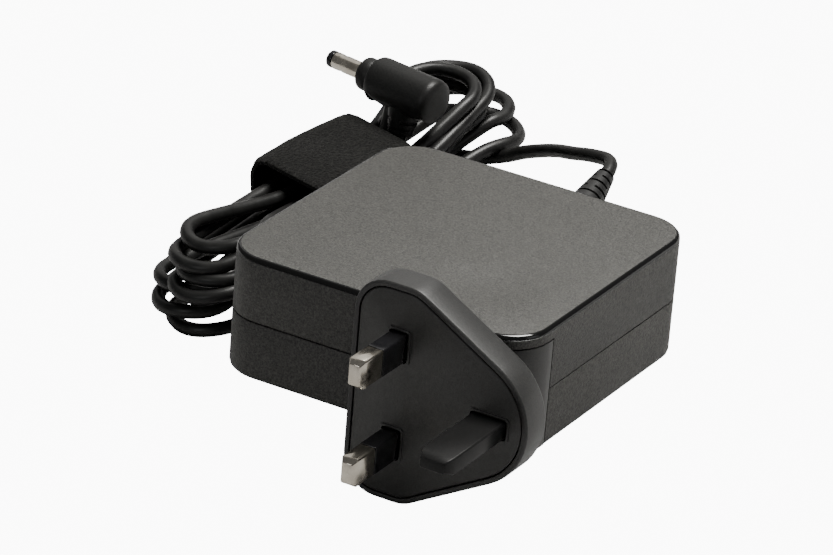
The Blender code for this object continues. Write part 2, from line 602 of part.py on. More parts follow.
def pins(parent, nickel, gloss):
    """Metal pins with their insulating sleeves, and the moulded earth pin."""
    root = FACE_Y + PIN_ROOT
    for name in ("live", "neutral"):
        x, z, wide_x, wide_z = pin_places()[name]
        half_x, half_z = wide_x / 2, wide_z / 2
        step = SLEEVE_WALL + GAP
        shoulder, tip = FACE_Y - SLEEVE_LONG - GAP, FACE_Y - PIN_LONG
        rings = [(half_x - step, half_z - step, 0.0002, root),
                 (half_x - step, half_z - step, 0.0002, shoulder),
                 (half_x, half_z, 0.0003, shoulder), (half_x, half_z, 0.0003, tip + 0.0014),
                 (half_x * 0.62, half_z * 0.72, 0.0002, tip)]
        pin = loft([bar_section(hx, hz, cut, y, x, z) for hx, hz, cut, y in rings])
        add_object(name + "_pin", pin, nickel, parent, smooth=False)
        bore_x, bore_z = half_x - SLEEVE_WALL, half_z - SLEEVE_WALL
        near, far = FACE_Y + FACE_THICK, FACE_Y - SLEEVE_LONG
        tube = [(half_x, half_z, near), (half_x, half_z, far), (bore_x, bore_z, far), (bore_x, bore_z, near)]
        sleeve = loft([bar_section(hx, hz, 0.00025, y, x, z) for hx, hz, y in tube], closed=True)
        add_object(name + "_sleeve", sleeve, gloss, parent, smooth=False)
    x, z, wide_x, wide_z = pin_places()["earth"]
    tip = FACE_Y - EARTH_LONG
    rings = [(1, 1, root), (1, 1, tip + 0.0024), (0.72, 0.60, tip)]
    earth = loft([bar_section(wide_x / 2 * kx, wide_z / 2 * kz, 0.0003, y, x, z) for kx, kz, y in rings])
    add_object("earth_pin", earth, gloss, parent, smooth=False)


def terminals(parent, brass):
    """Brass strips: a plate behind each pin and a blade that reaches through the back of the block."""
    front = FACE_Y + PIN_ROOT + GAP
    back = front + BLADE_THICK
    side = 0.0022
    for name, (x, z) in (("live", LIVE_BLADE), ("neutral", NEUTRAL_BLADE)):
        pin_x, pin_z, _, pin_wide = pin_places()[name]
        low_x, high_x = min(x, pin_x) - side, max(x, pin_x) + side
        reach = pin_wide / 2 - SLEEVE_WALL
        low_z, high_z = min(z, pin_z - reach), max(z + BLADE_TALL, pin_z + reach)
        strip = add_object(name + "_terminal", box(low_x, front, low_z, high_x, back, high_z), brass, parent,
                           smooth=False)
        half = BLADE_THICK / 2
        blade = box(x - half, front + BLADE_THICK / 4, z, x + half, BLADE_END_Y, z + BLADE_TALL)
        boolean(strip, cutter(name + "_blade", blade, parent), "UNION")


# ---------------------------------------------------------------- lead
def strain_relief(parent, mat):
    """Flange inside the wall, neck through it, ribbed taper outside that leans up and over."""
    square = aim((RELIEF_X, CASE_Y, RELIEF_Z), (0, 1, 0))
    lean = relief_frame()
    inside = -WALL - GAP
    steps = 20
    rings = []
    for radius, height in ((RELIEF_FLANGE_DIA / 2, inside - 0.0012), (RELIEF_FLANGE_DIA / 2, inside),
                           (RELIEF_NECK_DIA / 2, inside), (RELIEF_NECK_DIA / 2, GAP)):
        rings.append([square @ Vector((x, y, height)) for x, y in circle(radius, steps)])
    rings.append([square @ Vector((x, y, GAP)) for x, y in circle(RELIEF_ROOT_DIA / 2, steps)])
    start = 0.0022
    pitch = (RELIEF_LONG - start) / RELIEF_RIBS
    for i in range(RELIEF_RIBS):
        for part, groove in ((0.0, 0.0), (0.55, 0.0), (0.62, 0.0005), (0.93, 0.0005)):
            height = start + (i + part) * pitch
            share = height / RELIEF_LONG
            radius = (RELIEF_ROOT_DIA * (1 - share) + RELIEF_TIP_DIA * share) / 2 - groove
            rings.append([lean @ Vector((x, y, height)) for x, y in circle(radius, steps)])
    tip = RELIEF_TIP_DIA / 2
    rings.append([lean @ Vector((x, y, RELIEF_LONG)) for x, y in circle(tip * 0.93, steps)])
    add_object("strain_relief", loft(rings), mat, parent)


def smooth_route(points, spacing):
    """Evenly spaced points on a Catmull-Rom curve through the given points."""
    knots = [Vector(p) for p in points]
    knots = [2 * knots[0] - knots[1]] + knots + [2 * knots[-1] - knots[-2]]
    fine = []
    for a, b, c, d in zip(knots, knots[1:], knots[2:], knots[3:]):
        for i in range(12):
            t = i / 12
            fine.append(0.5 * ((2 * b) + (c - a) * t + (2 * a - 5 * b + 4 * c - d) * t * t
                               + (3 * b - a - 3 * c + d) * t ** 3))
    fine.append(knots[-2])
    total = sum((q - p).length for p, q in zip(fine, fine[1:]))
    count = max(2, round(total / spacing))
    result, walked, target = [fine[0]], 0.0, total / count
    for p, q in zip(fine, fine[1:]):
        length = (q - p).length
        while walked + length >= target - 1e-9 and len(result) < count:
            result.append(p.lerp(q, (target - walked) / length))
            target += total / count
        walked += length
    return result + [fine[-1]]


def lead(mat):
    """Free stretch of the lead: out of the strain relief, round and down to the side of the hank."""
    out = (CASE_MATRIX @ relief_frame()).to_3x3().col[2]
    exit_point = (CASE_MATRIX @ relief_frame()) @ Vector((0, 0, RELIEF_LONG + GAP))
    points = [exit_point] + smooth_route([exit_point + out * LEAD_STRAIGHT] + LEAD_ROUTE, CORD_DIA)
    data = bpy.data.curves.new("cable_lead", "CURVE")
    data.dimensions = "3D"
    data.bevel_depth = CORD_DIA / 2
    data.bevel_resolution = 2
    data.use_fill_caps = True
    spline = data.splines.new("POLY")
    spline.points.add(len(points) - 1)
    for knot, point in zip(spline.points, points):
        knot.co = (*point, 1)
    data.materials.append(mat)
    obj = bpy.data.objects.new("cable_lead", data)
    bpy.context.scene.collection.objects.link(obj)


def squircle(half_wide, low, high, steps=24):
    """Section of the hank: flattened oval, offsets across and up."""
    points = []
    for i in range(steps):
        angle = 2 * math.pi * i / steps
        across, up = math.cos(angle), math.sin(angle)
        points.append((half_wide * math.copysign(abs(across) ** 0.7, across),
                       (low + high) / 2 + (high - low) / 2 * math.copysign(abs(up) ** 0.7, up)))
    return points


def hank(mat):
    """Outer shape of the folded cable, waisted where the wrap holds it."""
    rings = []
    last = len(HANK_STATIONS) - 1
    for i, (x, y, half_wide, low, high) in enumerate(HANK_STATIONS):
        before, after = HANK_STATIONS[max(i - 1, 0)], HANK_STATIONS[min(i + 1, last)]
        along = Vector((after[0] - before[0], after[1] - before[1], 0)).normalized()
        across = Vector((along.y, -along.x, 0))
        rings.append([Vector((x, y, z)) + across * offset for offset, z in squircle(half_wide, low, high)])
    add_object("cable_hank", loft(rings), mat)


def strap(mat):
    """Closed band of hook-and-loop cloth round the waist of the hank."""
    start, end = Vector((*STRAP_START, 0)), Vector((*STRAP_END, 0))
    along = (end - start).normalized()
    across = Vector((along.y, -along.x, 0))

    def section(origin, inset):
        outline = rounded_rect(-STRAP_WIDE / 2, 0, STRAP_WIDE / 2, STRAP_TALL, STRAP_CORNER, inset, 5)
        return [origin + across * x + Vector((0, 0, z)) for x, z in outline]

    rings = [section(start, 0), section(end, 0), section(end, STRAP_THICK), section(start, STRAP_THICK)]
    add_object("cable_strap", loft(rings, closed=True), mat)


def dc_plug(rubber, nickel, gloss, brass):
    """Right-angle barrel plug: moulded body and stem, barrel, insulating tip and inner contact."""
    back, tip = Vector(DC_BACK), Vector(DC_TIP)
    out = (tip - back).normalized()
    body_long = (tip - back).length - DC_BARREL_LONG
    axis = aim(back, out)
    body_r, collar_r = DC_BODY_DIA / 2, DC_COLLAR_DIA / 2
    face = body_long
    collar = face - DC_COLLAR_LONG
    bore = DC_BARREL_DIA / 2 + GAP
    profile = [(bore, face - 0.004), (bore, face), (collar_r * 0.86, face), (collar_r, face - 0.0007),
               (collar_r, collar + 0.0003), (collar_r * 0.93, collar), (body_r * 0.90, collar),
               (body_r, collar - 0.0012), (body_r, 0.0016), (body_r * 0.9, 0.0005), (body_r * 0.7, 0)]
    body = add_object("dc_plug_body", turned(profile, axis, 24), rubber)
    side = Vector((0, 0, 1)).cross(out).normalized()
    if side.y > 0:
        side = -side
    fall = side * math.cos(DC_STEM_FALL) - Vector((0, 0, 1)) * math.sin(DC_STEM_FALL)
    stem_frame = aim(back + out * DC_STEM_AT, fall, out)
    rings = []
    for share in (0.0, 0.45, 0.75, 1.0):
        flare = DC_STEM_ROOT * (1 - share) + DC_STEM_TIP * share
        long_half = flare / 2 + 0.0030 * (1 - share) ** 2
        height = DC_STEM_LONG * share
        rings.append([stem_frame @ Vector((flare / 2 * math.cos(a), long_half * math.sin(a), height))
                      for a in (2 * math.pi * k / 20 for k in range(20))])
    boolean(body, cutter("dc_stem", loft(rings)), "UNION")

    barrel_r, barrel_bore = DC_BARREL_DIA / 2, DC_BARREL_BORE / 2
    cap_long = 0.0014
    end = face + DC_BARREL_LONG
    detent = face + DC_BARREL_LONG * 0.62
    root = face - 0.004 + GAP
    outer = [(barrel_r, root), (barrel_r, detent - 0.0006), (barrel_r - 0.00012, detent),
             (barrel_r, detent + 0.0006), (barrel_r, end - cap_long - GAP)]
    inner = [(barrel_bore, end - cap_long - GAP), (barrel_bore, root)]
    add_object("dc_barrel", turned(outer + inner, axis, 20, closed=True), nickel)
    sleeve_r = barrel_bore - GAP
    hole_r = sleeve_r - 0.00025
    ring = [(sleeve_r, root), (sleeve_r, end - cap_long), (barrel_r, end - cap_long),
            (barrel_r, end - 0.0003),
            (barrel_r - 0.0003, end), (hole_r, end), (hole_r, root)]
    add_object("dc_tip_insulator", turned(ring, axis, 20, closed=True), gloss)
    contact_r = hole_r - GAP
    tube = [(contact_r, root), (contact_r, end - 0.0006), (contact_r - 0.00025, end - 0.0006),
            (contact_r - 0.00025, root)]
    add_object("dc_centre_contact", turned(tube, axis, 16, closed=True), brass)


# ---------------------------------------------------------------- assembly
def clear_scene():
    for obj in list(bpy.data.objects):
        bpy.data.objects.remove(obj, do_unlink=True)


def empty(name, matrix, parent=None):
    obj = bpy.data.objects.new(name, None)
    bpy.context.scene.collection.objects.link(obj)
    obj.parent = parent
    obj.matrix_local = matrix
    return obj


def main():
    clear_scene()
    case = empty("case", CASE_MATRIX)
    plug = empty("plug_slide", Matrix.Identity(4), case)
    shell_black = material("shell_black", (0.060, 0.060, 0.058), 0.55)
    plug_black = material("plug_black", (0.050, 0.050, 0.048), 0.42)
    gloss = material("gloss_black", (0.012, 0.012, 0.014), 0.18)
    nickel = material("nickel", (0.78, 0.75, 0.70), 0.22, 1.0)
    brass = material("brass", (0.72, 0.55, 0.25), 0.35, 1.0)
    rubber = material("cable_black", (0.045, 0.045, 0.045), 0.50)
    cloth = material("strap_black", (0.035, 0.035, 0.033), 0.95)

    upper_shell(case, shell_black)
    lower_shell(case, shell_black)
    sheets(case)
    transformer(case)
    board_parts(case)
    contacts(case, brass)
    output_wires(case)
    strain_relief(case, rubber)

    plug_housing(plug, plug_black)
    plug_face(plug, plug_black)
    pins(plug, nickel, gloss)
    terminals(plug, brass)

    lead(rubber)
    hank(rubber)
    strap(cloth)
    dc_plug(rubber, nickel, gloss, brass)


main()
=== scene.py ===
"""Looks of the laptop power adapter: materials, the real output cable, its strap and its plug."""

import math

import bmesh
import bpy
from mathutils import Matrix, Vector


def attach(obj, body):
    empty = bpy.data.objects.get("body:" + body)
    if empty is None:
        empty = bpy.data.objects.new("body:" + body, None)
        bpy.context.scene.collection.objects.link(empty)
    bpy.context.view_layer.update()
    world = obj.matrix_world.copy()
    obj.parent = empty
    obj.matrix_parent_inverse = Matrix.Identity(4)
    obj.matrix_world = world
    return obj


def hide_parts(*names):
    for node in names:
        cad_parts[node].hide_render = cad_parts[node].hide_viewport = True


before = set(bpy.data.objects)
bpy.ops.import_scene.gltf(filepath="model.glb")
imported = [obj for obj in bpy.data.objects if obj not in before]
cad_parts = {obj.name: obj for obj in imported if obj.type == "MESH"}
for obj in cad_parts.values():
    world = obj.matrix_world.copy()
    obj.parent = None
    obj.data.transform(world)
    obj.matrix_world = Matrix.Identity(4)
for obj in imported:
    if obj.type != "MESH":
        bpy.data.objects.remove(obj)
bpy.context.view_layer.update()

# The case leans on the plug: its own frame turned into the world's, in metres.
LEAN = math.radians(9.2576)
CASE_MATRIX = Matrix.Translation((-0.04025, -0.024659, 0.011888)) @ Matrix.Rotation(-LEAN, 4, "X")

UP = Vector((0, 0, 1))

# Middle of the thumb dish in the case's own frame, and how far round it the lid's edge band may not reach.
DISH_CENTRE = (0.0540, 0.0205, 0.0280)
DISH_CLEAR = 0.0145

CORD_DIA = 0.0032
CORD_SPACING = 0.0012

# ---------------------------------------------------------------- route of the output cable, world
RELIEF_BASE = (0.0442, 0.0750, 0.0203)
RELIEF_AIM = (-0.0998, 1.0, 0.2792)
RELIEF_LONG = 0.0176

LEAD_STRAIGHT = 0.0018
LEAD_ROUTE = [
    (0.0013, 0.0743, 0.0220), (-0.0002, 0.0764, 0.0215), (-0.0023, 0.0779, 0.0208),
    (-0.0074, 0.0797, 0.0192), (-0.0125, 0.0819, 0.0169), (-0.0175, 0.0848, 0.0144),
    (-0.0230, 0.0878, 0.0112), (-0.0294, 0.0901, 0.0076),
]
# From there along the floor, under the folds, to the first strand.
UNDER_HANK = [
    (-0.0358, 0.0911, 0.0040), (-0.0422, 0.0905, 0.0020), (-0.0490, 0.0884, 0.0017),
    (-0.0545, 0.0842, 0.0017), (-0.0580, 0.0785, 0.0022),
]

# Folds of the hank, from the floor up. Each row has the centre's x and y, the radius, the height coming in,
# the height going out, and how much higher the middle of the turn lies.
NEAR_FOLDS = [
    (-0.0597, 0.0059, 0.0088, 0.0018, 0.0036, 0.0),
    (-0.0629, 0.0053, 0.0088, 0.0050, 0.0082, 0.0),
    (-0.0649, 0.0093, 0.0088, 0.0078, 0.0116, 0.0),
    (-0.0580, 0.0046, 0.0088, 0.0104, 0.0142, 0.0),
    (-0.0578, 0.0076, 0.0088, 0.0130, 0.0168, 0.0),
    (-0.0601, 0.0083, 0.0088, 0.0154, 0.0192, 0.0),
    (-0.0600, 0.0131, 0.0088, 0.0180, 0.0216, 0.0),
]
FAR_FOLDS = [
    (-0.0463, 0.0966, 0.0100, 0.0056, 0.0058, -0.0024),
    (-0.0510, 0.1007, 0.0097, 0.0086, 0.0078, -0.0016),
    (-0.0533, 0.0931, 0.0094, 0.0108, 0.0118, 0.0),
    (-0.0533, 0.0935, 0.0094, 0.0128, 0.0140, 0.0),
    (-0.0523, 0.094, 0.0096, 0.0150, 0.0156, 0.0006),
    (-0.0523, 0.0886, 0.0092, 0.0174, 0.0176, 0.0006),
]
# The two lowest strands swing out towards the case before they turn, over the free stretch.
FAR_SWINGS = [(-0.0388, 0.0878, 0.0062), (-0.0450, 0.0900, 0.0066)]
# Steps in a fold, and how much its height wavers.
FOLD_STEPS = 12
FOLD_WAVER = 0.0002

# Places of the strands inside the strap: across (towards the case) and height, west then east strands.
WEST_SLOTS = [
    (-0.0045, 0.0033), (-0.0090, 0.0034), (-0.0092, 0.0075), (-0.0046, 0.0076),
    (0.0000, 0.0076), (-0.0066, 0.0117), (-0.0022, 0.0118),
]
EAST_SLOTS = [
    (0.0090, 0.0034), (0.0045, 0.0033), (0.0047, 0.0076), (0.0092, 0.0075),
    (0.0100, 0.0113), (0.0064, 0.0119), (0.0018, 0.0105),
]
STRAP_START, STRAP_END = Vector((-0.0611, 0.0411, 0)), Vector((-0.0543, 0.0683, 0))
STRAP_ALONG = (STRAP_END - STRAP_START).normalized()
STRAP_ACROSS = Vector((STRAP_ALONG.y, -STRAP_ALONG.x, 0))
STRAP_HALF_WIDE, STRAP_TALL, STRAP_THICK, STRAP_CORNER = 0.0138, 0.0182, 0.0014, 0.0060
# The strands run straight this far past the strap's edges.
STRAP_CLEAR = 0.001

DC_BACK, DC_TIP = Vector((-0.0416, 0.0738, 0.0246)), Vector((-0.0743, 0.0794, 0.0246))
DC_BARREL_LONG, DC_COLLAR_LONG = 0.0104, 0.0036
DC_BODY_DIA, DC_COLLAR_DIA, DC_BARREL_DIA = 0.0106, 0.0078, 0.0040
DC_STEM_AT, DC_STEM_LONG, DC_STEM_FALL = 0.0097, 0.0100, math.radians(71.0)
DC_LAST_BEND = 0.0066
DC_RECESS_FROM, DC_RECESS_DEEP = 0.0046, 0.0013

RING_SLOT_DEEP = 0.0007

# ---------------------------------------------------------------- camera, lights and plain materials
CAMERA_AT = (0.4624, -0.7736, 0.6173)
CAMERA_RIGHT = Vector((0.8587, 0.5123, -0.0073))
CAMERA_AHEAD = Vector((-0.4335, 0.7188, -0.5435)).normalized()
CAMERA_LENS, CAMERA_SENSOR = 221.9, 36.0

WARM, WHITE = (1.0, 0.985, 0.95), (1, 1, 1)
LIGHT_TARGET = (0, 0, 0.02)
# Soft lights: name, place, size, power and colour.
LIGHTS = [
    ("back", (-0.65, 1.05, 0.80), 1.3, 3, WARM),
    ("top", (0.18, 0.55, 1.25), 0.6, 47, WARM),
    ("side", (1.3, 0.2, 0.55), 0.7, 1.2, WHITE),
    ("front", (-0.3, -1.2, 0.7), 0.5, 2.2, WHITE),
]
WORLD_STRENGTH, FLOOR_GLOW, FLOOR_GLOW_SHARE = 0.12, 11.0, 0.97

# Plain materials: name, dark, light, roughness, grain and its depth in millimetres, and the nodes they go on.
PLAIN_LOOKS = [
    ("label_film", (0.30, 0.30, 0.29), (0.36, 0.36, 0.35), 0.5, 0.6, 0.01, ["rating_label"]),
    ("board_mask", (0.015, 0.10, 0.04), (0.03, 0.15, 0.07), 0.35, 1.2, 0.01, ["main_board"]),
    ("insulating_film", (0.50, 0.32, 0.06), (0.60, 0.40, 0.10), 0.3, 1.5, 0.01, ["insulation_sheet"]),
    ("ferrite_core", (0.04, 0.04, 0.045), (0.07, 0.07, 0.075), 0.6, 0.3, 0.04, ["transformer_core"]),
    ("winding_tape", (0.55, 0.38, 0.05), (0.66, 0.48, 0.10), 0.4, 0.8, 0.02, ["transformer_coil"]),
    ("can_sleeve", (0.03, 0.05, 0.13), (0.06, 0.08, 0.18), 0.3, 1.0, 0.01,
     ["bulk_capacitor", "output_capacitor_1", "output_capacitor_2"]),
    ("chip_epoxy", (0.014, 0.014, 0.014), (0.03, 0.03, 0.03), 0.5, 0.2, 0.02,
     ["bridge_rectifier", "optocoupler", "controller_chip", "switching_transistor", "rectifier_diode"]),
    ("fuse_case", (0.12, 0.06, 0.03), (0.18, 0.09, 0.05), 0.45, 0.4, 0.02, ["fuse"]),
    ("film_case", (0.58, 0.40, 0.04), (0.68, 0.48, 0.07), 0.35, 0.7, 0.01, ["x_capacitor"]),
    ("dipped_disc", (0.03, 0.11, 0.34), (0.05, 0.16, 0.45), 0.4, 0.5, 0.02, ["y_capacitor"]),
    ("wire_red", (0.38, 0.015, 0.015), (0.50, 0.03, 0.03), 0.45, 0.6, 0.01, ["output_wire_positive"]),
    ("wire_black", (0.014, 0.014, 0.014), (0.03, 0.03, 0.03), 0.45, 0.6, 0.01, ["output_wire_negative"]),
]


# ---------------------------------------------------------------- frames and route
def clamp(value):
    """Value held between 0 and 1."""
    return max(0.0, min(1.0, value))


def relief_frame():
    """Axis of the strain relief, world: Z along it."""
    z_axis = Vector(RELIEF_AIM).normalized()
    x_axis = UP.cross(z_axis).normalized()
    turn = Matrix((x_axis, z_axis.cross(x_axis), z_axis)).transposed().to_4x4()
    return CASE_MATRIX @ Matrix.Translation(RELIEF_BASE) @ turn


def stem_frame():
    """Axis of the barrel plug's stem: origin on the body's axis, Z along the stem, Y along the body."""
    out = (DC_TIP - DC_BACK).normalized()
    side = UP.cross(out).normalized()
    side = -side if side.y > 0 else side
    fall = side * math.cos(DC_STEM_FALL) - UP * math.sin(DC_STEM_FALL)
    turn = Matrix((out.cross(fall), out, fall)).transposed().to_4x4()
    return Matrix.Translation(DC_BACK + out * DC_STEM_AT) @ turn


def stem_route():
    """The last bend: from level, up into the stem of the barrel plug."""
    base = stem_frame()
    end = base @ Vector((0, 0, DC_STEM_LONG))
    rise = -base.to_3x3().col[2]
    level = Vector((rise.x, rise.y, 0)).normalized()
    inside_stem = 0.0025
    steps = 4
    points = []
    for k in range(steps + 1):
        angle = DC_STEM_FALL * k / steps
        points.append(end - level * DC_LAST_BEND * (math.sin(DC_STEM_FALL) - math.sin(angle))
                      - UP * DC_LAST_BEND * (math.cos(angle) - math.cos(DC_STEM_FALL)))
    return points + [end + rise * inside_stem]


def strap_point(slot, along):
    """Point of a strand inside the strap, at a distance from the strap's near edge."""
    across, height = slot
    return STRAP_START + STRAP_ALONG * along + STRAP_ACROSS * across + Vector((0, 0, height))


def fold(arrive, leave, turn, number):
    """Turn of the hank round a centre, meeting the straight runs from and to the strap without a kink."""
    centre_x, centre_y, radius, height_in, height_out, lift = turn
    angles = []
    for point, sense in ((arrive, 1), (leave, -1)):
        away = point - Vector((centre_x, centre_y, point.z))
        angles.append(math.atan2(away.y, away.x) + sense * math.acos(radius / away.length))
    start = angles[0]
    sweep = (angles[1] - start) % (2 * math.pi)
    points = []
    for k in range(FOLD_STEPS + 1):
        share = k / FOLD_STEPS
        angle = start + sweep * share
        height = height_in + (height_out - height_in) * share + lift * math.sin(math.pi * share)
        height += FOLD_WAVER * math.sin(2.1 * number + 0.9 * k)
        points.append(Vector((centre_x + radius * math.cos(angle), centre_y + radius * math.sin(angle),
                              max(height, CORD_DIA / 2 + 0.0001))))
    return points


def smooth(points, spacing):
    """Evenly spaced points on a centripetal Catmull-Rom curve through the given points."""
    knots = [2 * points[0] - points[1]] + points + [2 * points[-1] - points[-2]]
    fine = []
    for p0, p1, p2, p3 in zip(knots, knots[1:], knots[2:], knots[3:]):
        t1 = (p1 - p0).length ** 0.5
        t2 = t1 + (p2 - p1).length ** 0.5
        t3 = t2 + (p3 - p2).length ** 0.5
        steps = max(2, int((p2 - p1).length / 0.0005))
        for i in range(steps):
            t = t1 + (t2 - t1) * i / steps
            a1 = p0 * ((t1 - t) / t1) + p1 * (t / t1)
            a2 = p1 * ((t2 - t) / (t2 - t1)) + p2 * ((t - t1) / (t2 - t1))
            a3 = p2 * ((t3 - t) / (t3 - t2)) + p3 * ((t - t2) / (t3 - t2))
            b1 = a1 * ((t2 - t) / t2) + a2 * (t / t2)
            b2 = a2 * ((t3 - t) / (t3 - t1)) + a3 * ((t - t1) / (t3 - t1))
            fine.append(b1 * ((t2 - t) / (t2 - t1)) + b2 * ((t - t1) / (t2 - t1)))
    fine.append(points[-1])
    total = sum((q - p).length for p, q in zip(fine, fine[1:]))
    count = round(total / spacing)
    result, walked, target = [fine[0]], 0.0, total / count
    for p, q in zip(fine, fine[1:]):
        length = (q - p).length
        while walked + length >= target and len(result) < count:
            result.append(p.lerp(q, (target - walked) / length))
            target += total / count
        walked += length
    return result + [fine[-1]], total


def cable_route():
    """Whole cable: outlet, free stretch, fourteen strands through the strap, stem of the barrel plug."""
    relief = relief_frame()
    out = relief.to_3x3().col[2]
    start = relief @ Vector((0, 0, RELIEF_LONG))
    points = [start, start + out * LEAD_STRAIGHT] + [Vector(p) for p in LEAD_ROUTE + UNDER_HANK]
    reach = (STRAP_END - STRAP_START).length
    beyond = reach + STRAP_CLEAR
    for i, (west, east) in enumerate(zip(WEST_SLOTS, EAST_SLOTS)):
        into, back = strap_point(west, -STRAP_CLEAR), strap_point(east, -STRAP_CLEAR)
        points += [strap_point(west, beyond), strap_point(west, reach / 2), into]
        points += fold(into, back, NEAR_FOLDS[i], i) + [back, strap_point(east, reach / 2)]
        if i < len(FAR_FOLDS):
            into = strap_point(east, beyond)
            points.append(into)
            if i < len(FAR_SWINGS):
                into = Vector(FAR_SWINGS[i])
                points.append(into)
            back = strap_point(WEST_SLOTS[i + 1], beyond)
            points += fold(into, back, FAR_FOLDS[i], i + len(NEAR_FOLDS))
    points += stem_route()
    return smooth(points, CORD_SPACING)


# ---------------------------------------------------------------- mesh helpers
def add_object(name, data):
    """New object in the scene."""
    obj = bpy.data.objects.new(name, data)
    bpy.context.scene.collection.objects.link(obj)
    return obj


def place(name, bm, mat, body, smooth_angle):
    """bmesh to an object that rides on a body."""
    bmesh.ops.recalc_face_normals(bm, faces=bm.faces)
    mesh = bpy.data.meshes.new(name)
    bm.to_mesh(mesh)
    bm.free()
    mesh.materials.append(mat)
    mesh.shade_smooth()
    mesh.set_sharp_from_angle(angle=math.radians(smooth_angle))
    obj = add_object(name, mesh)
    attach(obj, body)
    return obj


def loft(rings, closed=False):
    """Skin over rings of points: capped at both ends, or closed from the last ring to the first."""
    bm = bmesh.new()
    loops = [[bm.verts.new(p) for p in ring] for ring in rings]
    pairs = list(zip(loops, loops[1:]))
    if closed:
        pairs.append((loops[-1], loops[0]))
    for near, far in pairs:
        for i in range(len(near)):
            j = (i + 1) % len(near)
            bm.faces.new((near[i], near[j], far[j], far[i]))
    if not closed:
        bm.faces.new(loops[0])
        bm.faces.new(loops[-1])
    return bm


def rounded_outline(half_wide, tall, corner, steps=10):
    """Rounded rectangle standing on the floor, across and up."""
    points = []
    for cx, cz, start in ((half_wide - corner, corner, -90), (half_wide - corner, tall - corner, 0),
                          (corner - half_wide, tall - corner, 90), (corner - half_wide, corner, 180)):
        for k in range(steps + 1):
            angle = math.radians(start + 90 * k / steps)
            points.append((cx + corner * math.cos(angle), cz + corner * math.sin(angle)))
    return points


# ---------------------------------------------------------------- materials
class Look:
    """One Principled material under construction, with object coordinates in metres."""

    def __init__(self, name, colour, roughness, metallic=0.0):
        self.mat = bpy.data.materials.new(name)
        self.mat.use_nodes = True
        self.tree = self.mat.node_tree
        self.shader = self.tree.nodes["Principled BSDF"]
        self.shader.inputs["Metallic"].default_value = metallic
        self.shader.inputs["Roughness"].default_value = roughness
        self.shader.inputs["Base Color"].default_value = (*colour, 1.0)
        self.place = self.tree.nodes.new("ShaderNodeTexCoord").outputs["Object"]
        self.height = None

    def link(self, a, b):
        self.tree.links.new(a, b)

    def noise(self, scale, detail=2.0, rough=0.5, stretch=None):
        node = self.tree.nodes.new("ShaderNodeTexNoise")
        node.inputs["Scale"].default_value = scale
        node.inputs["Detail"].default_value = detail
        node.inputs["Roughness"].default_value = rough
        source = self.place
        if stretch:
            mapping = self.tree.nodes.new("ShaderNodeMapping")
            mapping.inputs["Scale"].default_value = stretch
            self.link(source, mapping.inputs["Vector"])
            source = mapping.outputs["Vector"]
        self.link(source, node.inputs["Vector"])
        return node.outputs["Fac"]

    def cells(self, scale):
        node = self.tree.nodes.new("ShaderNodeTexVoronoi")
        node.inputs["Scale"].default_value = scale
        self.link(self.place, node.inputs["Vector"])
        return node.outputs["Distance"]

    def spread(self, value, low, high, from_low=0.3, from_high=0.7):
        """Maps a 0 to 1 value to low to high."""
        node = self.tree.nodes.new("ShaderNodeMapRange")
        node.inputs["From Min"].default_value = from_low
        node.inputs["From Max"].default_value = from_high
        node.inputs["To Min"].default_value = low
        node.inputs["To Max"].default_value = high
        self.link(value, node.inputs["Value"])
        return node.outputs["Result"]

    def blend(self, factor, colour_a, colour_b):
        node = self.tree.nodes.new("ShaderNodeMix")
        node.data_type = "RGBA"
        self.link(factor, node.inputs[0])
        for socket, colour in ((node.inputs[6], colour_a), (node.inputs[7], colour_b)):
            if isinstance(colour, tuple):
                socket.default_value = (*colour, 1.0)
            else:
                self.link(colour, socket)
        return node.outputs[2]

    def maths(self, operation, a, b=None):
        node = self.tree.nodes.new("ShaderNodeMath")
        node.operation = operation
        for socket, value in ((node.inputs[0], a), (node.inputs[1], b)):
            if value is None:
                continue
            if isinstance(value, (int, float)):
                socket.default_value = value
            else:
                self.link(value, socket)
        return node.outputs[0]

    def bump(self, value, distance, strength=1.0):
        node = self.tree.nodes.new("ShaderNodeBump")
        node.inputs["Distance"].default_value = distance
        node.inputs["Strength"].default_value = strength
        self.link(value, node.inputs["Height"])
        if self.height is not None:
            self.link(self.height, node.inputs["Normal"])
        self.height = node.outputs["Normal"]
        self.link(self.height, self.shader.inputs["Normal"])

    def colour(self, value):
        self.link(value, self.shader.inputs["Base Color"])

    def rough(self, value):
        self.link(value, self.shader.inputs["Roughness"])

    def along(self, axis, offset):
        """Distance along a world axis from a plane."""
        node = self.tree.nodes.new("ShaderNodeVectorMath")
        node.operation = "DOT_PRODUCT"
        node.inputs[1].default_value = axis
        self.link(self.place, node.inputs[0])
        return self.maths("SUBTRACT", node.outputs["Value"], offset)


def moulded(name, dark, light, roughness, grain_mm, depth_mm, shine=0.5):
    """Spark-eroded plastic: fine grain in height and tone, with slow change of sheen."""
    look = Look(name, dark, roughness)
    grain = look.noise(1000 / grain_mm, 3.0, 0.6)
    slow = look.noise(60, 2.0)
    look.colour(look.blend(look.spread(grain, 0.0, 1.0), dark, light))
    sheen_change = 0.03
    look.rough(look.spread(slow, roughness - sheen_change, roughness + sheen_change))
    look.bump(grain, depth_mm / 1000)
    look.shader.inputs["Specular IOR Level"].default_value = shine
    return look


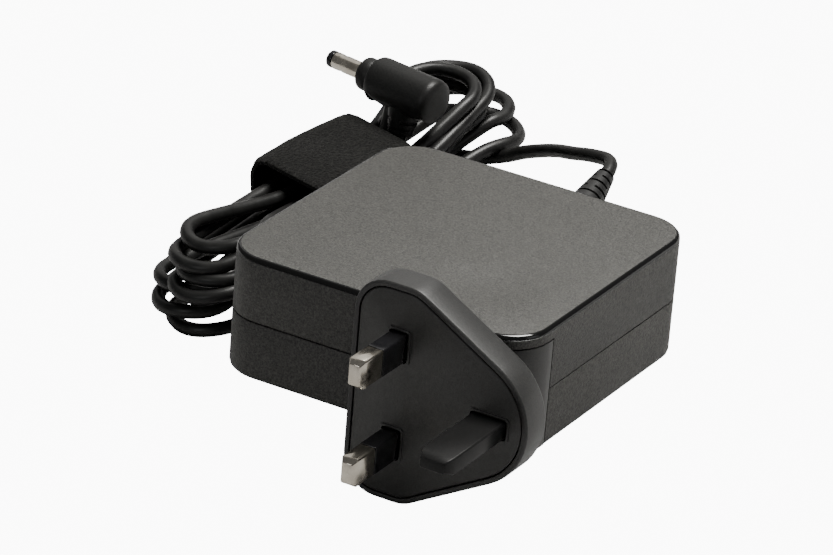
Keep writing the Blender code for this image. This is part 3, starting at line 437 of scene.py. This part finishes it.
def shell_look():
    """Case: grained plastic with a polished band round the edge of the lid."""
    look = Look("case_plastic", (0.05, 0.05, 0.05), 0.5)
    grain = look.noise(2300, 3.0, 0.7)
    coarse = look.noise(1100, 2.0, 0.5)
    slow = look.noise(45, 2.0)
    up = CASE_MATRIX.to_3x3().col[2]
    height = look.along(tuple(up), up.dot(CASE_MATRIX.translation))
    band = look.maths("MULTIPLY", look.spread(height, 0.0, 1.0, 0.02693, 0.02701),
                      look.spread(height, 1.0, 0.0, 0.027975, 0.02799))
    away = look.tree.nodes.new("ShaderNodeVectorMath")
    away.operation = "DISTANCE"
    away.inputs[1].default_value = tuple(CASE_MATRIX @ Vector(DISH_CENTRE))
    look.link(look.place, away.inputs[0])
    outside_dish = look.maths("GREATER_THAN", away.outputs["Value"], DISH_CLEAR)
    band = look.maths("MULTIPLY", band, outside_dish)
    speck = look.spread(grain, 0.0, 1.0, 0.36, 0.66)
    matte = look.blend(speck, (0.009, 0.009, 0.008), (0.062, 0.061, 0.055))
    look.colour(look.blend(band, matte, (0.003, 0.003, 0.003)))
    sheen = look.spread(slow, 0.47, 0.55)
    mixed = look.tree.nodes.new("ShaderNodeMix")
    look.link(band, mixed.inputs[0])
    look.link(sheen, mixed.inputs[2])
    mixed.inputs[3].default_value = 0.10
    look.rough(mixed.outputs[0])
    calm = look.maths("SUBTRACT", 1.0, band)
    relief = look.maths("ADD", look.maths("MULTIPLY", grain, 0.6), look.maths("MULTIPLY", coarse, 0.4))
    look.bump(look.maths("MULTIPLY", relief, calm), 0.00028, 1.0)
    return look


def metal(name, bright, dull, roughness, stretch):
    """Plated or rolled metal with faint drawing lines and patches."""
    look = Look(name, bright, roughness, 1.0)
    lines = look.noise(900, 3.0, 0.6, stretch)
    patches = look.noise(350, 3.0, 0.6)
    look.colour(look.blend(look.spread(patches, 0.0, 1.0), dull, bright))
    look.rough(look.spread(lines, roughness - 0.06, roughness + 0.08))
    look.bump(lines, 0.00001, 0.6)
    return look


def strap_look():
    """Looped cloth: dense pile whose own tone is mixed with painted shade between the loops and painted light
    on the fibre tips.
    """
    look = Look("strap_pile", (0.02, 0.02, 0.02), 0.95)
    pile = look.noise(2600, 4.0, 0.75)
    tufts = look.cells(1500)
    mix = look.maths("ADD", look.maths("MULTIPLY", pile, 0.6), look.maths("MULTIPLY", tufts, 0.5))
    # Painted shade and light: the pile's tone is darker where the loops meet and lighter on the fibre tips.
    look.colour(look.blend(look.spread(mix, 0.0, 1.0, 0.30, 0.72), (0.004, 0.004, 0.004),
                           (0.014, 0.014, 0.013)))
    look.shader.inputs["Specular IOR Level"].default_value = 0.08
    look.shader.inputs["Sheen Weight"].default_value = 0.04
    look.shader.inputs["Sheen Roughness"].default_value = 0.4
    look.bump(mix, 0.0007)
    return look


def cable_look():
    """Extruded cable jacket: satin, with faint long ripples."""
    look = Look("cable_jacket", (0.03, 0.03, 0.03), 0.42)
    fine = look.noise(1800, 2.0)
    slow = look.noise(260, 2.0)
    look.colour(look.blend(look.spread(slow, 0.0, 1.0), (0.006, 0.006, 0.006), (0.011, 0.011, 0.0105)))
    look.rough(look.spread(slow, 0.34, 0.44))
    look.shader.inputs["Specular IOR Level"].default_value = 0.28
    look.bump(fine, 0.00003, 0.5)
    return look


# ---------------------------------------------------------------- pieces
def build_cable(look, on_it):
    """The real cable on one smooth line. The pieces given as on_it are not used."""
    points, length = cable_route()
    data = bpy.data.curves.new("output_cable", "CURVE")
    data.dimensions = "3D"
    data.bevel_depth = CORD_DIA / 2
    data.bevel_resolution = 4
    data.use_fill_caps = True
    spline = data.splines.new("POLY")
    spline.points.add(len(points) - 1)
    for knot, point in zip(spline.points, points):
        knot.co = (*point, 1)
    spline.use_smooth = True
    data.materials.append(look.mat)
    obj = add_object("output_cable", data)
    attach(obj, "adapter")
    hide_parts("cable_lead", "cable_hank")


def strap_ripple(k, share):
    """Uneven surface of the pile, at a point of the outline and a share of the strap's width."""
    return 0.00008 * math.sin(0.9 * k + 5 * share) + 0.00006 * math.sin(2.3 * k - 11 * share)


def build_strap(look):
    """Hook-and-loop wrap: a soft band whose surface is roughened by its pile."""
    reach = (STRAP_END - STRAP_START).length
    rings = []
    rows = 34
    for part, inset in (("outer", 0.0), ("inner", STRAP_THICK)):
        for r in range(rows + 1):
            share = r / rows if part == "outer" else 1 - r / rows
            edge = min(share, 1 - share) * reach
            round_off = max(0.0, 0.0005 - edge) * 0.8 if part == "outer" else 0.0
            swell = 0.0004 * math.sin(math.pi * share)
            ring = []
            outline = rounded_outline(STRAP_HALF_WIDE - inset - round_off,
                                      STRAP_TALL - 2 * (inset + round_off), STRAP_CORNER - inset, 14)
            for k, (x, z) in enumerate(outline):
                puff = 1 + (swell + strap_ripple(k, share)) / STRAP_HALF_WIDE
                along = reach * share
                ring.append(STRAP_START + STRAP_ALONG * along + STRAP_ACROSS * (x * puff)
                            + Vector((0, 0, max(0.0002 + inset, (z + inset + round_off) * puff))))
            rings.append(ring)
    band = place("strap_band", loft(rings, closed=True), look.mat, "adapter", 50)
    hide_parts("cable_strap")


def slot_cut(angle, phase, bridge, ramp):
    """Depth of a ring slot: it stops at two bridges, which change sides from ring to ring."""
    shift = 0.0 if int(phase) % 2 else math.pi / 2
    return RING_SLOT_DEEP * clamp((abs(math.cos(angle + shift)) - bridge) / ramp)


def finger_recess(angle, height, neck):
    """Depth of the recess beside the stem, at an angle round the body and a height along it."""
    room = (neck if height > 0 else DC_STEM_AT) - DC_RECESS_FROM
    share = (abs(height) - DC_RECESS_FROM) / room
    deep = DC_RECESS_DEEP * clamp(min(share / 0.15, (1 - share) / 0.12))
    side = angle if angle < math.pi else angle - 2 * math.pi
    wide = math.radians(26 + 40 * clamp(share))
    return deep * clamp((wide - abs(side)) / 0.10)


def build_dc_body(look, base):
    """Round body with finger recesses, and the neck that the barrel comes out of."""
    back = 0.0012 - DC_STEM_AT
    front = (DC_TIP - DC_BACK).length - DC_BARREL_LONG - DC_STEM_AT
    neck = front - DC_COLLAR_LONG
    body_r, neck_r, bore = DC_BODY_DIA / 2, DC_COLLAR_DIA / 2, DC_BARREL_DIA / 2 + 0.0001
    rounded, rows, sides = 0.0017, 30, 72
    profile = [(0.0008, back), (body_r * 0.62, back), (body_r * 0.84, back + 0.00025),
               (body_r * 0.95, back + 0.0008), (body_r, back + rounded)]
    straight = neck - 0.0012 - back - rounded
    profile += [(body_r, back + rounded + straight * k / rows) for k in range(1, rows + 1)]
    profile += [(body_r * 0.985, neck - 0.0006), (body_r * 0.93, neck - 0.0001), (neck_r * 1.02, neck),
                (neck_r * 0.95, neck + 0.0002), (neck_r * 0.95, neck + 0.0005), (neck_r, neck + 0.0008),
                (neck_r, front - 0.0006), (neck_r * 0.95, front - 0.0001), (neck_r * 0.9, front),
                (bore, front), (bore, front - 0.0030)]
    rings = []
    for radius, height in profile:
        ring = []
        for k in range(sides):
            angle = 2 * math.pi * k / sides
            x, z = radius * math.sin(angle), radius * math.cos(angle)
            if radius > neck_r * 1.05 and back + 0.0010 < height < neck - 0.0006:
                sunk = finger_recess(angle, height, neck)
                x, z = x * (1 - sunk / radius), z * (1 - sunk / radius)
            ring.append(base @ Vector((x, height, z)))
        rings.append(ring)
    return place("dc_plug_moulding", loft(rings), look.mat, "adapter", 40)


def build_dc_stem(look, base):
    """Tapered stem, flared into the body, with ring slots near the cable."""
    root, tip, slots_from, pitch = 0.0047, 0.0029, 0.0052, 0.0017
    flare_deep, flare_long = 0.0016, 0.0055
    rows, sides = 60, 48
    rings = []
    for r in range(rows + 1):
        height = DC_STEM_LONG * r / rows
        share = height / DC_STEM_LONG
        radius = root * (1 - share) + tip * share
        flare = flare_deep * max(0.0, 1 - height / flare_long) ** 2
        phase = (height - slots_from) / pitch
        ring = []
        for k in range(sides):
            angle = 2 * math.pi * k / sides
            slot = 0.0
            if height > slots_from and (phase % 1.0) > 0.66:
                slot = slot_cut(angle, phase, 0.35, 0.1)
            x = (radius - slot) * math.cos(angle)
            y = (radius + flare - slot) * math.sin(angle)
            ring.append(base @ Vector((x, y, height)))
        rings.append(ring)
    return place("dc_plug_stem", loft(rings), look.mat, "adapter", 40)


def build_dc_plug(look):
    """Right-angle moulding of the barrel plug: body and stem."""
    base = stem_frame()
    body = build_dc_body(look, base)
    stem = build_dc_stem(look, base)
    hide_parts("dc_plug_body")
    return [body, stem]


def build_relief(look):
    """Cable outlet: taper with ring slots that stop at bridges, which change sides from ring to ring."""
    base = relief_frame()
    turn = Matrix(((1, 0, 0), (0, 0, 1), (0, -1, 0))).transposed().to_4x4()
    square = CASE_MATRIX @ Matrix.Translation(RELIEF_BASE) @ turn
    root, tip, sides = 0.0046, 0.00215, 48
    angles = [2 * math.pi * k / sides for k in range(sides)]
    rings = []
    # The root goes through the back wall, square to it.
    for radius, depth in ((0.0010, -0.0024), (0.0033, -0.0024), (0.0033, 0.0002)):
        rings.append([square @ Vector((radius * math.cos(angle), radius * math.sin(angle), depth))
                      for angle in angles])
    rows, start, count = 180, 0.0014, 7
    pitch = (RELIEF_LONG - start) / count
    for r in range(rows + 1):
        height = 0.0003 + (RELIEF_LONG - 0.0003) * r / rows
        share = height / RELIEF_LONG
        radius = root * (1 - share) + tip * share
        phase = (height - start) / pitch
        slot_here = height > start and 0.66 < phase % 1.0 < 0.90
        ring = []
        for angle in angles:
            outer = radius - (slot_cut(angle, phase, 0.30, 0.12) if slot_here else 0.0)
            ring.append(base @ Vector((outer * math.cos(angle), outer * math.sin(angle), height)))
        rings.append(ring)
    relief = place("cable_outlet", loft(rings), look.mat, "adapter", 40)
    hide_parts("strain_relief")
    return relief


def dress(look, *names, edge=0.00012):
    """A better material on CAD nodes whose shape is right, smooth on their curves, with softened edges."""
    for name in names:
        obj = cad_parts[name]
        if not obj.material_slots:
            obj.data.materials.append(look.mat)
        for slot in obj.material_slots:
            slot.material = look.mat
        obj.data.shade_smooth()
        weld = obj.modifiers.new("weld", "WELD")
        weld.merge_threshold = 0.000002
        bevel = obj.modifiers.new("soft_edges", "BEVEL")
        bevel.width = edge
        bevel.segments = 2
        bevel.limit_method = "ANGLE"
        bevel.angle_limit = math.radians(38)
        bevel.use_clamp_overlap = True
        bevel.harden_normals = False
        split = obj.modifiers.new("creases", "EDGE_SPLIT")
        split.split_angle = math.radians(33)


def build_camera():
    """Long lens, from the right, in front and above."""
    cam = add_object("camera", bpy.data.cameras.new("camera"))
    ahead = CAMERA_AHEAD
    right = (CAMERA_RIGHT - ahead * CAMERA_RIGHT.dot(ahead)).normalized()
    turn = Matrix((right, right.cross(ahead), -ahead)).transposed().to_4x4()
    cam.matrix_world = Matrix.Translation(CAMERA_AT) @ turn
    cam.data.lens = CAMERA_LENS
    cam.data.sensor_width = CAMERA_SENSOR
    cam.data.clip_start = 0.05
    cam.data.clip_end = 20
    bpy.context.scene.camera = cam


def area_light(name, position, size, power, colour):
    """Square light that faces the object."""
    data = bpy.data.lights.new(name, "AREA")
    data.size = size
    data.energy = power
    data.color = colour
    obj = add_object(name, data)
    ahead = Vector(LIGHT_TARGET) - Vector(position)
    obj.matrix_world = Matrix.Translation(position) @ ahead.to_track_quat("-Z", "Y").to_matrix().to_4x4()


def build_stage():
    """White floor that stays out of the reflections, a dim room, and soft lights behind, above and beside."""
    world = bpy.data.worlds.new("studio")
    world.use_nodes = True
    world.node_tree.nodes["Background"].inputs["Color"].default_value = (1.0, 1.0, 1.0, 1.0)
    world.node_tree.nodes["Background"].inputs["Strength"].default_value = WORLD_STRENGTH
    bpy.context.scene.world = world
    bm = bmesh.new()
    bmesh.ops.create_grid(bm, x_segments=2, y_segments=2, size=6.0)
    mesh = bpy.data.meshes.new("floor")
    bm.to_mesh(mesh)
    bm.free()
    look = Look("floor_white", (0.93, 0.93, 0.93), 0.7)
    look.colour(look.blend(look.noise(3.0), (0.28, 0.28, 0.28), (0.30, 0.30, 0.30)))
    tree = look.tree
    seen = tree.nodes.new("ShaderNodeLightPath").outputs["Is Camera Ray"]
    glow = tree.nodes.new("ShaderNodeEmission")
    glow.inputs["Strength"].default_value = FLOOR_GLOW
    mix = tree.nodes.new("ShaderNodeMixShader")
    look.link(look.maths("MULTIPLY", seen, FLOOR_GLOW_SHARE), mix.inputs["Fac"])
    look.link(look.shader.outputs["BSDF"], mix.inputs[1])
    look.link(glow.outputs["Emission"], mix.inputs[2])
    look.link(mix.outputs["Shader"], tree.nodes["Material Output"].inputs["Surface"])
    mesh.materials.append(look.mat)
    floor = add_object("floor", mesh)
    floor.location.z = -0.0001
    for light in LIGHTS:
        area_light(*light)


def dress_all():
    """Materials of the nodes that keep their CAD shape."""
    shell = shell_look()
    plug = moulded("plug_plastic", (0.014, 0.014, 0.014), (0.028, 0.028, 0.027), 0.38, 0.35, 0.03)
    face = moulded("plug_face_plastic", (0.020, 0.020, 0.019), (0.038, 0.038, 0.036), 0.36, 0.30, 0.03)
    gloss = moulded("gloss_plastic", (0.006, 0.006, 0.007), (0.011, 0.011, 0.012), 0.14, 0.5, 0.006)
    nickel = metal("nickel_plate", (0.76, 0.71, 0.62), (0.58, 0.53, 0.45), 0.20, (1, 0.15, 1))
    brass = metal("brass_sheet", (0.78, 0.60, 0.28), (0.60, 0.43, 0.18), 0.32, (0.3, 1, 1))
    dress(shell, "upper_shell", "lower_shell")
    dress(plug, "plug_housing")
    dress(face, "plug_face")
    dress(gloss, "live_sleeve", "neutral_sleeve", "dc_tip_insulator")
    dress(moulded("pin_plastic", (0.005, 0.005, 0.005), (0.010, 0.010, 0.010), 0.32, 0.4, 0.006, shine=0.22),
          "earth_pin")
    dress(nickel, "live_pin", "neutral_pin", "dc_barrel")
    dress(brass, "live_terminal", "neutral_terminal", "live_contact", "neutral_contact", "dc_centre_contact")
    dress(metal("mill_aluminium", (0.74, 0.75, 0.76), (0.62, 0.63, 0.65), 0.38, (1, 0.2, 1)),
          "primary_heat_sink", "secondary_heat_sink")
    dress(metal("enamelled_wire", (0.62, 0.28, 0.10), (0.40, 0.15, 0.05), 0.3, (1, 1, 4)),
          "input_choke", "output_choke")
    for name, dark, light, roughness, grain_mm, depth_mm, nodes in PLAIN_LOOKS:
        dress(moulded(name, dark, light, roughness, grain_mm, depth_mm), *nodes)


def main():
    build_camera()
    build_stage()
    dress_all()
    plug_rubber = moulded("plug_rubber", (0.007, 0.007, 0.007), (0.013, 0.013, 0.0125), 0.42, 0.35, 0.03,
                          shine=0.22)
    outlet_rubber = moulded("outlet_rubber", (0.007, 0.007, 0.007), (0.013, 0.013, 0.013), 0.42, 0.4, 0.02,
                            shine=0.3)
    relief = build_relief(outlet_rubber)
    build_cable(cable_look(), build_dc_plug(plug_rubber) + [relief])
    build_strap(strap_look())


main()
